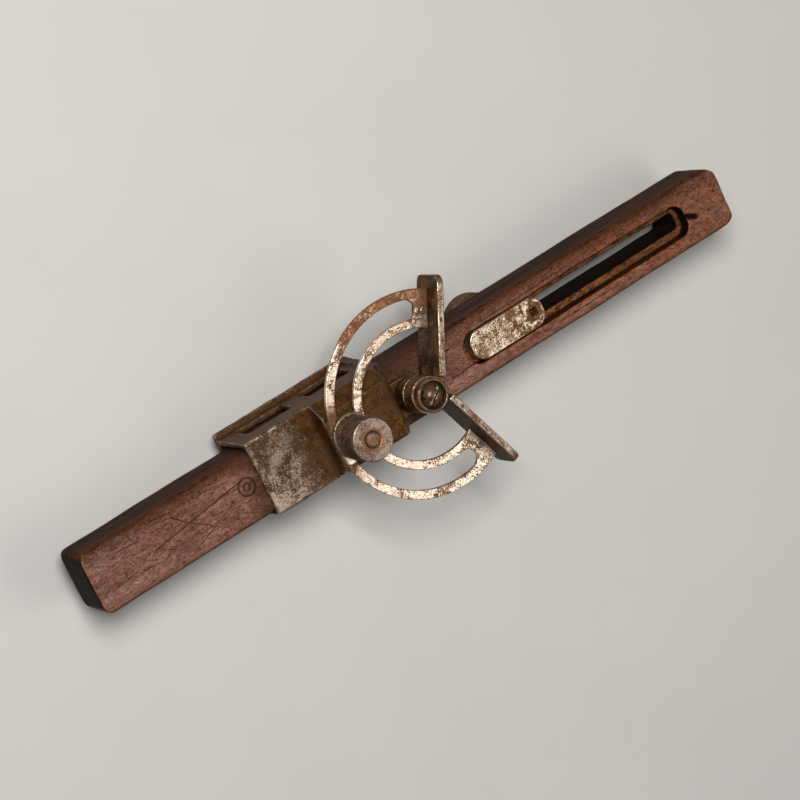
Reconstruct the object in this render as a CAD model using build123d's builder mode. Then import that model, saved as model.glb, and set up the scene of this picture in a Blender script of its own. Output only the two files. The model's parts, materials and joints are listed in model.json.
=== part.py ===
from build123d import *
import os

# Marking gauge: a wooden beam, a cast sleeve head with a hinged two-arm fence, and a scriber slide.
# Frame: origin on the fence pivot axis at the beam's underside, +X along the beam towards its
# slotted end, +Z out of the working face. All lengths are millimetres.

# --- beam ---------------------------------------------------------------------------------
beam_left, beam_right = -105.5, 119.3
beam_width, beam_height = 19.0, 18.5
beam_edge_radius, left_corner_radius, right_corner_radius = 2.5, 3.6, 4.0
end_edge_radius, left_foot_radius = 1.0, 3.6
recess_left, recess_right = 22.0, 104.0
recess_width, recess_floor, recess_end_radius = 9.6, 14.3, 3.6
slot_left, slot_right, slot_width, slot_end_radius = 31.0, 102.4, 4.9, 1.0

# --- head casting -------------------------------------------------------------------------
head_left, head_right = -50.0, -4.0
tunnel_low_y, tunnel_high_y, tunnel_bottom, tunnel_top = -9.6, 10.4, -0.15, 18.65
side_low_y, side_high_y, sole, label_face = -10.5, 12.3, -1.65, 20.25
foot_low_y, foot_high_y, foot_top, collar_length = -12.1, 13.9, 0.35, 3.0
seat_left, seat_right, seat_top, seat_low_y = -29.0, -5.7, 26.65, -8.9
seat_bevel_y, seat_bevel_z, step_fillet, seat_corner = 8.5, 22.3, 2.0, 2.4
window_spans = ((-44.2, -29.5), (-23.4, -9.2))
window_bottom, window_top = 2.9, 11.8
shelf_radius, shelf_top, shelf_front = 5.4, 22.4, 4.4
lock_x, lock_boss_radius, lock_boss_bottom = -27.0, 5.0, -4.35
shoe_bore_radius, shoe_bore_floor = 3.6, -2.05

# --- fence arms ---------------------------------------------------------------------------
upper_swing, lower_swing = 26.6, 21.4
fence_back, fence_front = 2.5, 4.6
fence_inner, fence_outer = 4.9, 33.0
fence_bottom, fence_top = 22.5, 35.35
fence_low_corner, fence_high_corner = 2.0, 3.0
knuckle_radius, knuckle_split, knuckle_top = 5.3, 27.85, 33.45
arc_outer, arc_inner, arc_thickness = 29.35, 18.35, 1.3
arc_slot_radius, arc_slot_width = 23.8, 5.55
arc_slot_start = 10.5
upper_slot_end, upper_free_end = 119.6, 130.0
lower_slot_end, lower_free_end = 115.4, 126.4
lower_sheet, upper_sheet = 26.7, 28.05
lug_back, lug_inner, lug_outer, lug_thickness = -1.2, 20.5, 26.5, 1.4
rivet_forward, rivet_along, rivet_radius = 1.1, 23.3, 0.9
rivet_head_radius, rivet_head_height = 1.3, 0.5

# --- pivot fittings -----------------------------------------------------------------------
post_radius, post_foot = 2.6, 18.7
cap_radius, cap_bottom, cap_top, cap_floor, cap_rim = 4.85, 33.5, 36.3, 0.9, 0.8
screw_head_radius, screw_radius, screw_foot, screw_top = 3.45, 1.45, 27.0, 37.4
screw_slot_width, screw_slot_depth, screw_slot_angle = 0.85, 1.1, 36

# --- clamp on the arcs --------------------------------------------------------------------
stud_x, stud_radius, stud_foot, stud_top = -23.8, 2.25, 21.0, 42.3
clamp_washer_radius, clamp_washer_bore, clamp_washer_shift = 6.4, 3.15, 0.8
clamp_washer_bottom, clamp_washer_top = 29.4, 31.0
nut_foot_radius, nut_radius, nut_bottom, nut_top = 5.8, 6.1, 31.05, 41.65

# --- scriber slide ------------------------------------------------------------------------
slide_left, slide_right, slide_width, slide_corner = 24.2, 50.2, 9.2, 4.0
slide_bottom, slide_top = 14.35, 18.4
slide_stud_x, slide_stud_radius, slide_stud_bottom = 39.0, 2.2, -8.3
neck_length, neck_width, neck_bottom = 8.0, 4.6, 8.0
spigot_radius, spigot_top = 1.8, 17.2
scriber_x, scriber_side, scriber_hole = 46.7, 2.3, 2.4
scriber_bottom, scriber_shoulder, scriber_top = 3.2, 15.0, 17.8
slide_washer_radius, under_washer_top, under_washer_bottom = 8.5, -0.05, -1.25
slide_nut_radius, slide_nut_top, rest_level = 9.2, -1.3, -8.75

# --- head lock ----------------------------------------------------------------------------
shoe_radius, shoe_top, shoe_bottom = 3.4, -0.05, -1.25
lock_radius, lock_head_radius, lock_head_top = 2.0, 7.0, -5.15

# --- fits ---------------------------------------------------------------------------------
fixed_gap, running_gap, face_gap = 0.02, 0.05, 0.05

os.makedirs("parts", exist_ok=True)

# --- beam: rounded bar with its plan corners rounded, a recess and a through slot ----------
beam_middle = (beam_left + beam_right) / 2
with BuildPart() as beam:
    with BuildSketch(Plane.YZ.offset(beam_left)):
        with Locations((0, beam_height / 2)):
            RectangleRounded(beam_width, beam_height, beam_edge_radius)
    extrude(amount=beam_right - beam_left)
    with BuildSketch(Plane.XY) as beam_plan:
        with Locations((beam_middle, 0)):
            Rectangle(beam_right - beam_left, beam_width)
        fillet(beam_plan.vertices().group_by(Axis.X)[0], left_corner_radius)
        fillet(beam_plan.vertices().group_by(Axis.X)[-1], right_corner_radius)
    extrude(amount=beam_height, mode=Mode.INTERSECT)
    with BuildSketch(Plane.XZ.offset(-beam_width / 2)) as beam_side:
        with Locations((beam_middle, beam_height / 2)):
            Rectangle(beam_right - beam_left, beam_height)
        fillet(beam_side.vertices().group_by(Axis.X)[-1], end_edge_radius)
        fillet(beam_side.vertices().group_by(Axis.X)[0].sort_by(Axis.Y)[0], left_foot_radius)
        fillet(beam_side.vertices().group_by(Axis.X)[0].sort_by(Axis.Y)[-1], end_edge_radius)
    extrude(amount=beam_width, mode=Mode.INTERSECT)
    with BuildSketch(Plane.XY.offset(recess_floor)) as recess_plan:
        with Locations(((recess_left + recess_right) / 2, 0)):
            Rectangle(recess_right - recess_left, recess_width)
        fillet(recess_plan.vertices().group_by(Axis.X)[0], recess_width / 2 - 0.2)
        fillet(recess_plan.vertices().group_by(Axis.X)[-1], recess_end_radius)
    extrude(amount=beam_height - recess_floor, mode=Mode.SUBTRACT)
    with BuildSketch(Plane.XY) as slot_plan:
        with Locations(((slot_left + slot_right) / 2, 0)):
            Rectangle(slot_right - slot_left, slot_width)
        fillet(slot_plan.vertices().group_by(Axis.X)[0], slot_width / 2 - 0.2)
        fillet(slot_plan.vertices().group_by(Axis.X)[-1], slot_end_radius)
    extrude(amount=recess_floor, mode=Mode.SUBTRACT)
beam.part.label = "beam"
export_step(beam.part, "parts/beam.step")

# --- head casting: sleeve and raised seat, feet, front collar, pivot shelf, lock boss -------
head_middle = (head_left + head_right) / 2
head_length = head_right - head_left
with BuildPart() as head_casting:
    # Side outline: label face, concave rise to the seat, seat, front.
    with BuildSketch(Plane.XZ.offset(-side_high_y)):
        with BuildLine():
            label_line = Line((head_left, label_face), (seat_left - step_fillet, label_face))
            rise = TangentArc(
                label_line @ 1, (seat_left, label_face + step_fillet), tangent=(1, 0)
            )
            Polyline(
                rise @ 1,
                (seat_left, seat_top),
                (seat_right, seat_top),
                (seat_right, label_face),
                (head_right, label_face),
                (head_right, sole),
                (head_left, sole),
                label_line @ 0,
            )
        make_face()
    extrude(amount=side_high_y - side_low_y)
    # End outline: plain side, label edge, seat with its long bevel.
    with BuildSketch(Plane.YZ.offset(head_left)) as end_outline:
        with BuildLine():
            Polyline(
                (side_low_y, sole),
                (side_high_y, sole),
                (side_high_y, seat_bevel_z),
                (seat_bevel_y, seat_top),
                (seat_low_y, seat_top),
                (seat_low_y, label_face),
                (side_low_y, label_face),
                close=True,
            )
        make_face()
        fillet(end_outline.vertices().sort_by_distance((seat_low_y, seat_top))[0], 1.5)
        fillet(end_outline.vertices().sort_by_distance((side_low_y, label_face))[0], 0.9)
        fillet(end_outline.vertices().sort_by_distance((seat_bevel_y, seat_top))[0], 0.8)
    extrude(amount=head_length, mode=Mode.INTERSECT)
    seat_edges = head_casting.edges().filter_by(Axis.Z)
    seat_edges = seat_edges.filter_by_position(Axis.X, seat_right - 0.1, seat_right + 0.1)
    fillet(seat_edges.sort_by(Axis.Y)[0], seat_corner)
    # Feet along both sides of the sole.
    with BuildSketch(Plane.XY.offset(sole)):
        with Locations((head_middle, (foot_low_y + foot_high_y) / 2)):
            RectangleRounded(head_length, foot_high_y - foot_low_y, 0.8)
    extrude(amount=foot_top - sole)
    # Collar at the front, spreading down to the feet.
    with BuildSketch(Plane.YZ.offset(head_right - collar_length)):
        with BuildLine():
            Polyline(
                (foot_low_y, sole + 0.5),
                (foot_high_y, sole + 0.5),
                (side_high_y, label_face),
                (side_low_y + 0.9, label_face),
                (side_low_y, label_face - 0.9),
                close=True,
            )
        make_face()
    extrude(amount=collar_length)
    # Shelf in front of the seat that carries the pivot post.
    with BuildSketch(Plane.XY.offset(tunnel_top)):
        Circle(shelf_radius)
        with Locations((seat_right / 2 - 0.5, 0)):
            Rectangle(1 - seat_right, 2 * shelf_radius)
        with Locations((shelf_front + shelf_radius / 2, 0)):
            Rectangle(shelf_radius, 2 * shelf_radius, mode=Mode.SUBTRACT)
    extrude(amount=shelf_top - tunnel_top)
    # Boss under the sole for the lock screw.
    with BuildSketch(Plane.XY.offset(lock_boss_bottom)):
        with Locations((lock_x, 0)):
            Circle(lock_boss_radius)
    extrude(amount=sole - lock_boss_bottom + 0.1)
    # Tunnel for the beam.
    with BuildSketch(Plane.YZ.offset(head_left - 1)):
        with Locations(((tunnel_low_y + tunnel_high_y) / 2, (tunnel_bottom + tunnel_top) / 2)):
            RectangleRounded(
                tunnel_high_y - tunnel_low_y, tunnel_top - tunnel_bottom, beam_edge_radius - 0.2
            )
    extrude(amount=head_length + 2, mode=Mode.SUBTRACT)
    # Two windows in the thicker side wall.
    with BuildSketch(Plane.XZ.offset(-side_high_y - 1)):
        for window_left, window_right in window_spans:
            with Locations(
                ((window_left + window_right) / 2, (window_bottom + window_top) / 2)
            ):
                RectangleRounded(window_right - window_left, window_top - window_bottom, 0.8)
    extrude(amount=side_high_y - tunnel_high_y + 2, mode=Mode.SUBTRACT)
    # Bores for the shoe, the lock screw, the stud and the post.
    with BuildSketch(Plane.XY.offset(shoe_bore_floor)):
        with Locations((lock_x, 0)):
            Circle(shoe_bore_radius)
    extrude(amount=tunnel_bottom - shoe_bore_floor + 0.1, mode=Mode.SUBTRACT)
    with BuildSketch(Plane.XY.offset(lock_boss_bottom)):
        with Locations((lock_x, 0)):
            Circle(lock_radius + running_gap)
    extrude(amount=shoe_bore_floor - lock_boss_bottom + 0.1, mode=Mode.SUBTRACT)
    with BuildSketch(Plane.XY.offset(stud_foot - fixed_gap)):
        with Locations((stud_x, 0)):
            Circle(stud_radius + fixed_gap)
    extrude(amount=seat_top - stud_foot + 1, mode=Mode.SUBTRACT)
    with BuildSketch(Plane.XY.offset(tunnel_top - 0.1)):
        Circle(post_radius + fixed_gap)
    extrude(amount=shelf_top - tunnel_top + 1, mode=Mode.SUBTRACT)
head_casting.part.label = "head_casting"
export_step(head_casting.part, "parts/head_casting.step")

# --- fence arms: plate with its half of the barrel, slotted arc, rivet ----------------------
# In an arm's plane +X is the front of its fence face, and the arm points along +Y or -Y.
arms = (
    ("upper", upper_swing, 1, knuckle_split + face_gap, knuckle_top, upper_sheet,
     upper_slot_end, upper_free_end),
    ("lower", lower_swing, -1, fence_bottom, knuckle_split, lower_sheet,
     lower_slot_end, lower_free_end),
)
fence_thickness = fence_front - fence_back
for arm_name, swing, side, knuckle_low, knuckle_high, sheet, slot_end, free_end in arms:
    arm = Plane.XY.rotated((0, 0, -side * swing))
    across_arm = Axis((0, 0, 0), arm.x_dir)
    lug_top = sheet - face_gap
    with BuildPart() as fence_plate:
        with BuildSketch(arm.offset(fence_bottom)):
            with Locations(((fence_back + fence_front) / 2, side * (fence_inner + fence_outer) / 2)):
                Rectangle(fence_thickness, fence_outer - fence_inner)
        extrude(amount=fence_top - fence_bottom)
        low_edges = fence_plate.edges().filter_by(across_arm).group_by(Axis.Z)[0]
        fillet(low_edges.sort_by_distance((0, 0, fence_bottom))[-1], fence_low_corner)
        high_edges = fence_plate.edges().filter_by(across_arm).group_by(Axis.Z)[-1]
        fillet(high_edges.sort_by_distance((0, 0, fence_top))[-1], fence_high_corner)
        with BuildSketch(arm.offset(knuckle_low)):
            Circle(knuckle_radius)
            with Locations(((fence_back + fence_front) / 2, side * (fence_inner + 0.5) / 2)):
                Rectangle(fence_thickness, fence_inner + 0.5)
            with Locations((fence_front + knuckle_radius / 2, 0)):
                Rectangle(knuckle_radius, 2 * knuckle_radius, mode=Mode.SUBTRACT)
            Circle(post_radius + running_gap, mode=Mode.SUBTRACT)
        extrude(amount=knuckle_high - knuckle_low)
        with BuildSketch(arm.offset(lug_top - lug_thickness)):
            with Locations(((lug_back + fence_back + 0.5) / 2, side * (lug_inner + lug_outer) / 2)):
                Rectangle(fence_back + 0.5 - lug_back, lug_outer - lug_inner)
        extrude(amount=lug_thickness)
        with BuildSketch(arm.offset(lug_top - lug_thickness - 1)):
            with Locations((rivet_forward, side * rivet_along)):
                Circle(rivet_radius + fixed_gap)
        extrude(amount=lug_thickness + 1, mode=Mode.SUBTRACT)
    fence_plate.part.label = f"{arm_name}_fence_plate"
    export_step(fence_plate.part, f"parts/{arm_name}_fence_plate.step")

    end_point = Vector(2 * arc_outer, 0).rotate(Axis.Z, side * (90 + free_end))
    end_middle = end_point * (arc_slot_radius / (2 * arc_outer))
    with BuildPart() as slotted_arc:
        with BuildSketch(arm.offset(sheet)) as arc_plan:
            Circle(arc_outer)
            Circle(arc_inner, mode=Mode.SUBTRACT)
            with Locations((fence_back - fixed_gap + arc_outer, 0)):
                Rectangle(2 * arc_outer, 2 * arc_outer, mode=Mode.SUBTRACT)
            with BuildLine():
                Polyline(
                    (0, 0),
                    end_point,
                    (0, -side * 2 * arc_outer),
                    (2 * arc_outer, -side * 2 * arc_outer),
                    (2 * arc_outer, 0),
                    close=True,
                )
            make_face(mode=Mode.SUBTRACT)
            fillet(arc_plan.vertices().sort_by_distance(end_middle)[0:2], 1.2)
            with BuildLine(mode=Mode.PRIVATE) as slot_middle:
                CenterArc(
                    (0, 0),
                    arc_slot_radius,
                    side * (90 + arc_slot_start),
                    side * (slot_end - arc_slot_start),
                )
            SlotArc(slot_middle.edges()[0], arc_slot_width, mode=Mode.SUBTRACT)
            with Locations((rivet_forward, side * rivet_along)):
                Circle(rivet_radius + fixed_gap, mode=Mode.SUBTRACT)
        extrude(amount=arc_thickness)
    slotted_arc.part.label = f"{arm_name}_slotted_arc"
    export_step(slotted_arc.part, f"parts/{arm_name}_slotted_arc.step")

    with BuildPart() as arc_rivet:
        with BuildSketch(arm.offset(lug_top - lug_thickness)):
            with Locations((rivet_forward, side * rivet_along)):
                Circle(rivet_radius)
        extrude(amount=lug_thickness + face_gap + arc_thickness + 0.1)
        with BuildSketch(arm.offset(sheet + arc_thickness + fixed_gap)):
            with Locations((rivet_forward, side * rivet_along)):
                Circle(rivet_head_radius)
        extrude(amount=rivet_head_height)
        fillet(arc_rivet.edges().group_by(Axis.Z)[-1], 0.4)
    arc_rivet.part.label = f"{arm_name}_arc_rivet"
    export_step(arc_rivet.part, f"parts/{arm_name}_arc_rivet.step")

# --- pivot post, cup-shaped cap and slotted screw -------------------------------------------
with BuildPart() as pivot_post:
    with BuildSketch(Plane.XY.offset(post_foot)):
        Circle(post_radius)
    extrude(amount=knuckle_top - post_foot)
    with BuildSketch(Plane.XY.offset(screw_foot - face_gap)):
        Circle(screw_radius + fixed_gap)
    extrude(amount=knuckle_top - screw_foot + 1, mode=Mode.SUBTRACT)
pivot_post.part.label = "pivot_post"
export_step(pivot_post.part, "parts/pivot_post.step")

with BuildPart() as pivot_cap:
    with BuildSketch(Plane.XZ):
        with BuildLine():
            Polyline(
                (screw_radius + 0.1, cap_bottom),
                (cap_radius - 0.3, cap_bottom),
                (cap_radius, cap_bottom + 0.3),
                (cap_radius, cap_top - 0.3),
                (cap_radius - 0.3, cap_top),
                (cap_radius - cap_rim, cap_top),
                (cap_radius - cap_rim - 0.4, cap_bottom + cap_floor),
                (screw_radius + 0.1, cap_bottom + cap_floor),
                close=True,
            )
        make_face()
    revolve(axis=Axis.Z)
pivot_cap.part.label = "pivot_cap"
export_step(pivot_cap.part, "parts/pivot_cap.step")

screw_seat = cap_bottom + cap_floor + fixed_gap
with BuildPart() as pivot_screw:
    with BuildSketch(Plane.XZ):
        with BuildLine():
            screw_side = Polyline(
                (0, screw_foot),
                (screw_radius, screw_foot),
                (screw_radius, screw_seat),
                (screw_head_radius, screw_seat),
                (screw_head_radius, screw_seat + 0.7),
            )
            screw_dome = ThreePointArc(
                screw_side @ 1, (screw_head_radius * 0.6, screw_top - 0.5), (0, screw_top)
            )
            Line(screw_dome @ 1, screw_side @ 0)
        make_face()
    revolve(axis=Axis.Z)
    with BuildSketch(Plane.XY.offset(screw_top - screw_slot_depth)):
        Rectangle(3 * screw_head_radius, screw_slot_width, rotation=screw_slot_angle)
    extrude(amount=screw_slot_depth + 1, mode=Mode.SUBTRACT)
pivot_screw.part.label = "pivot_screw"
export_step(pivot_screw.part, "parts/pivot_screw.step")

# --- clamp on the arcs: stud, washer, nut ---------------------------------------------------
with BuildPart() as clamp_stud:
    with BuildSketch(Plane.XY.offset(stud_foot)):
        with Locations((stud_x, 0)):
            Circle(stud_radius)
    extrude(amount=stud_top - stud_foot)
    fillet(clamp_stud.edges().group_by(Axis.Z)[-1], 0.9)
clamp_stud.part.label = "clamp_stud"
export_step(clamp_stud.part, "parts/clamp_stud.step")

with BuildPart() as clamp_washer:
    with BuildSketch(Plane.XY.offset(clamp_washer_bottom)):
        with Locations((stud_x, clamp_washer_shift)):
            Circle(clamp_washer_radius)
            Circle(clamp_washer_bore, mode=Mode.SUBTRACT)
    extrude(amount=clamp_washer_top - clamp_washer_bottom)
    fillet(clamp_washer.edges().group_by(Axis.Z)[-1].sort_by(SortBy.LENGTH)[-1], 0.4)
clamp_washer.part.label = "clamp_washer"
export_step(clamp_washer.part, "parts/clamp_washer.step")

clamp_nut_profile = (
    (stud_radius + running_gap, nut_bottom),
    (nut_foot_radius - 0.3, nut_bottom),
    (nut_foot_radius, nut_bottom + 0.3),
    (nut_foot_radius, nut_bottom + 1.1),
    (nut_foot_radius - 0.6, nut_bottom + 1.5),
    (nut_foot_radius - 0.6, nut_bottom + 1.9),
    (nut_radius, nut_bottom + 2.3),
    (nut_radius, nut_top - 0.5),
    (nut_radius - 0.5, nut_top),
    (stud_radius + running_gap, nut_top),
)
with BuildPart() as clamp_thumb_nut:
    with BuildSketch(Plane.XZ):
        with BuildLine():
            Polyline(*[(stud_x + radius, level) for radius, level in clamp_nut_profile], close=True)
        make_face()
    revolve(axis=Axis((stud_x, 0, 0), (0, 0, 1)))
clamp_thumb_nut.part.label = "clamp_thumb_nut"
export_step(clamp_thumb_nut.part, "parts/clamp_thumb_nut.step")

# --- scriber slide: plate, stud with a guide neck, washer, nut, scriber ----------------------
with BuildPart() as slide_plate:
    with BuildSketch(Plane.XY.offset(slide_bottom)):
        with Locations(((slide_left + slide_right) / 2, 0)):
            RectangleRounded(slide_right - slide_left, slide_width, slide_corner)
    extrude(amount=slide_top - slide_bottom)
    fillet(slide_plate.edges().group_by(Axis.Z)[-1], 0.35)
    with BuildSketch(Plane.XY.offset(slide_bottom)):
        with Locations((slide_stud_x, 0)):
            Circle(spigot_radius + fixed_gap)
    extrude(amount=spigot_top - slide_bottom + face_gap, mode=Mode.SUBTRACT)
    with BuildSketch(Plane.XY.offset(slide_bottom)):
        with Locations((scriber_x, 0)):
            Rectangle(scriber_hole, scriber_hole)
    extrude(amount=slide_top - slide_bottom, mode=Mode.SUBTRACT)
slide_plate.part.label = "slide_plate"
export_step(slide_plate.part, "parts/slide_plate.step")

with BuildPart() as slide_stud:
    with BuildSketch(Plane.XY.offset(slide_stud_bottom)):
        with Locations((slide_stud_x, 0)):
            Circle(slide_stud_radius)
    extrude(amount=neck_bottom - slide_stud_bottom + 1)
    fillet(slide_stud.edges().group_by(Axis.Z)[0], 0.6)
    with BuildSketch(Plane.XY.offset(neck_bottom)):
        with Locations((slide_stud_x, 0)):
            Rectangle(neck_length, neck_width)
    extrude(amount=slide_bottom - face_gap - neck_bottom)
    with BuildSketch(Plane.XY.offset(slide_bottom - 1)):
        with Locations((slide_stud_x, 0)):
            Circle(spigot_radius)
    extrude(amount=spigot_top - slide_bottom + 1)
slide_stud.part.label = "slide_stud"
export_step(slide_stud.part, "parts/slide_stud.step")

with BuildPart() as slide_washer:
    with BuildSketch(Plane.XY.offset(under_washer_bottom)):
        with Locations((slide_stud_x, 0)):
            Circle(slide_washer_radius)
            Circle(slide_stud_radius + 0.15, mode=Mode.SUBTRACT)
    extrude(amount=under_washer_top - under_washer_bottom)
slide_washer.part.label = "slide_washer"
export_step(slide_washer.part, "parts/slide_washer.step")

slide_nut_profile = (
    (slide_stud_radius + running_gap, rest_level),
    (slide_nut_radius - 0.6, rest_level),
    (slide_nut_radius, rest_level + 0.6),
    (slide_nut_radius, slide_nut_top - 2.4),
    (slide_nut_radius - 2.2, slide_nut_top - 1.6),
    (slide_nut_radius - 2.6, slide_nut_top),
    (slide_stud_radius + running_gap, slide_nut_top),
)
with BuildPart() as slide_thumb_nut:
    with BuildSketch(Plane.XZ):
        with BuildLine():
            Polyline(
                *[(slide_stud_x + radius, level) for radius, level in slide_nut_profile], close=True
            )
        make_face()
    revolve(axis=Axis((slide_stud_x, 0, 0), (0, 0, 1)))
slide_thumb_nut.part.label = "slide_thumb_nut"
export_step(slide_thumb_nut.part, "parts/slide_thumb_nut.step")

tip_side = 0.24
with BuildPart() as scriber:
    with BuildSketch(Plane.XY.offset(scriber_bottom)):
        with Locations((scriber_x, 0)):
            Rectangle(scriber_side, scriber_side)
    extrude(amount=scriber_shoulder - scriber_bottom)
    with BuildSketch(Plane.XY.offset(scriber_shoulder)):
        with Locations((scriber_x, 0)):
            Rectangle(scriber_side, scriber_side)
    with BuildSketch(Plane.XY.offset(scriber_top)):
        with Locations((scriber_x, 0)):
            Rectangle(tip_side, tip_side)
    loft()
scriber.part.label = "scriber"
export_step(scriber.part, "parts/scriber.step")

# --- head lock: shoe under the beam and its thumb screw --------------------------------------
with BuildPart() as lock_shoe:
    with BuildSketch(Plane.XY.offset(shoe_bottom)):
        with Locations((lock_x, 0)):
            Circle(shoe_radius)
    extrude(amount=shoe_top - shoe_bottom)
lock_shoe.part.label = "lock_shoe"
export_step(lock_shoe.part, "parts/lock_shoe.step")

screw_end = shoe_bottom - face_gap
lock_profile = (
    (0, rest_level),
    (lock_head_radius - 0.6, rest_level),
    (lock_head_radius, rest_level + 0.6),
    (lock_head_radius, lock_head_top - 0.6),
    (lock_head_radius - 0.6, lock_head_top),
    (lock_radius, lock_head_top),
    (lock_radius, screw_end - 0.4),
    (lock_radius - 0.4, screw_end),
    (0, screw_end),
)
with BuildPart() as head_lock_screw:
    with BuildSketch(Plane.XZ):
        with BuildLine():
            Polyline(*[(lock_x + radius, level) for radius, level in lock_profile], close=True)
        make_face()
    revolve(axis=Axis((lock_x, 0, 0), (0, 0, 1)))
head_lock_screw.part.label = "head_lock_screw"
export_step(head_lock_screw.part, "parts/head_lock_screw.step")
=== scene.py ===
import json
from math import cos, pi, radians, sin
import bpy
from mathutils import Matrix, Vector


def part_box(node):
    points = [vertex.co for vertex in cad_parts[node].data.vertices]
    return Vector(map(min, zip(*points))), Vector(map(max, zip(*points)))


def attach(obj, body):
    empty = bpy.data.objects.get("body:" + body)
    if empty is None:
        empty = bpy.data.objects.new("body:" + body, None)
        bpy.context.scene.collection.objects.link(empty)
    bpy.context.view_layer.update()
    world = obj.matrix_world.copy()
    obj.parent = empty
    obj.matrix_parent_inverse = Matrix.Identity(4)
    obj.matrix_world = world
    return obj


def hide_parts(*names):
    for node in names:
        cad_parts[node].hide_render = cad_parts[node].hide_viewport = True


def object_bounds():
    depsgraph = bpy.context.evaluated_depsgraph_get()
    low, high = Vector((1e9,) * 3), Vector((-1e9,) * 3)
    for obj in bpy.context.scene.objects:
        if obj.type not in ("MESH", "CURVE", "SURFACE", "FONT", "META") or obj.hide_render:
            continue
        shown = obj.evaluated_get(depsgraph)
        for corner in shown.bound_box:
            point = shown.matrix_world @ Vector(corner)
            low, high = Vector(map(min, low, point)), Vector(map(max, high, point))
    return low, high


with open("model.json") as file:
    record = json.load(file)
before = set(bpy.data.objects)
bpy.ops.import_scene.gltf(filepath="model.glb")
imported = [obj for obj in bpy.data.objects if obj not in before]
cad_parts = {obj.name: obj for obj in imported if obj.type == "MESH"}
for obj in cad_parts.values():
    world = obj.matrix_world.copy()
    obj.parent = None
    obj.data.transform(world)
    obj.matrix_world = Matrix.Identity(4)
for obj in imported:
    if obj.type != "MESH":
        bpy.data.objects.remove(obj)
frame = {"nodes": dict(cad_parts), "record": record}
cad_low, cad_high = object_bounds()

from types import SimpleNamespace

import bpy
import numpy as np
from mathutils import Matrix, Vector, noise

# Marking gauge with a hinged two-arm fence. Places and sizes below are millimetres in the CAD's
# frame: the origin is on the fence pivot axis, +X runs along the beam, +Z leaves the working face.
MM = 0.001
NODES = frame["nodes"]
BODY_OF = {n: b for b, ns in frame["record"]["behaviour"]["bodies"].items() for n in ns}


def box(node):
    """Lowest and highest corner of a CAD node, in millimetres."""
    low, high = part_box(node)
    return Vector(low) / MM, Vector(high) / MM


def centre_of(node):
    low, high = box(node)
    return (low + high) / 2


beam_low, beam_high = box("beam")
head_low, head_high = box("head_casting")
butt, front, face = beam_low.x, beam_high.x, beam_high.z
rear, seat = head_low.x, head_high.z
LABEL_FACE = 20.25
RECESS_REAR, RECESS_FRONT, RECESS_FLOOR, RECESS_SIDE = 22.0, 104.0, 14.3, 4.8

# Marks on the working face of the beam: (start, end, half width), seen from above.
LONG_SCRATCH = ((rear - 35, -0.5), (rear - 5, 3.5))
CROSS_SCRATCH = ((rear - 27, 5), (rear - 23, 1))
FRONT_SCRATCH = ((15, -4), (25, -3.5))
NOTCH = ((front - 16, 0.5), (front - 12, -1.5))
SCRATCHES = [
    (*LONG_SCRATCH, 0.21),
    (*CROSS_SCRATCH, 0.20),
    (*FRONT_SCRATCH, 0.22),
    ((rear - 23, 1), (rear - 18, -2.5), 0.17),
    ((rear - 33, 7.5), (rear - 27, 6.5), 0.14),
    ((rear - 32, 6), (rear - 26, 5), 0.12),
    ((rear - 27, -7), (rear - 13, -2), 0.12),
    ((rear - 45, 5), (rear - 39, 4.5), 0.17),
    ((rear - 42, -3.5), (rear - 34, -4), 0.12),
    ((rear - 16, 6.5), (rear - 11, 6), 0.14),
    ((rear - 13, 5.5), (rear - 8, 5.5), 0.12),
    ((9, 5), (18, 4), 0.16),
    ((30, 6), (62, 6.5), 0.12),
    ((52, -6.5), (74, -6.5), 0.12),
]
STAMP = (rear - 4, 1.2, 0)
STAMP_RINGS = ((2.5, 0.42, 0.20), (1.0, 0.34, 0.16))


# ---------------------------------------------------------------- node graphs
# Noise fields are moved apart by a shift, which counts by these shares along X, Y and Z.
SHIFT_SHARES = (1, 0.7, 1.3)


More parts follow.
